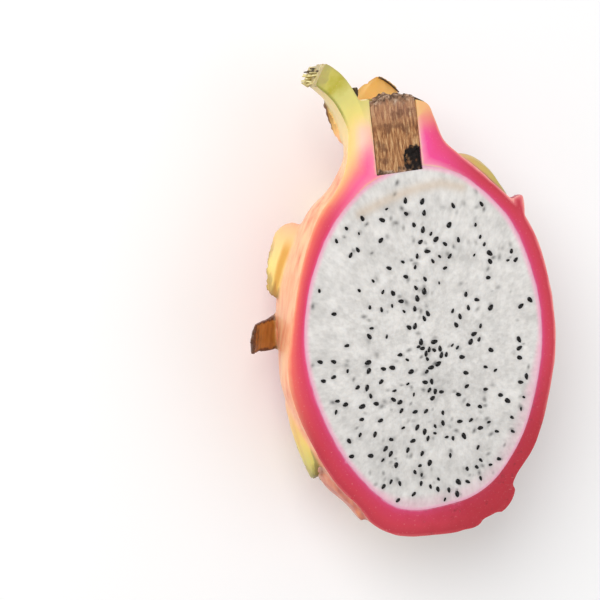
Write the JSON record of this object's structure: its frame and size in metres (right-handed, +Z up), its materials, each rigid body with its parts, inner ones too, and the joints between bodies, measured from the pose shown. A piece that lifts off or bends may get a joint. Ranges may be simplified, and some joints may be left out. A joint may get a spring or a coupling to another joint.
{
  "type": "dragon fruit half",
  "caption": "Half of a dragon fruit cut lengthwise, lying on its back: scaly rind, white flesh with black seeds, and the woody stub of the stalk.",
  "frame": {"origin": "middle of the small flat spot on the back that the half rests on, under its centre of mass", "axes": "+Z up, square to the flat spot and to the cut face; +Y along the fruit's length, towards the stalk; +X across the cut face"},
  "size_m": [0.0915, 0.135, 0.0391],
  "materials": {
    "rind": "waxy fruit skin, crimson to pink, with yellow and green scales",
    "flesh": "moist, translucent white pulp with black seeds",
    "stalk": "dry, fibrous and brown, with dark patches"
  },
  "bodies": {
    "root": {"rind": "rind", "flesh": "flesh", "stalk": "stalk"}
  },
  "joints": []
}
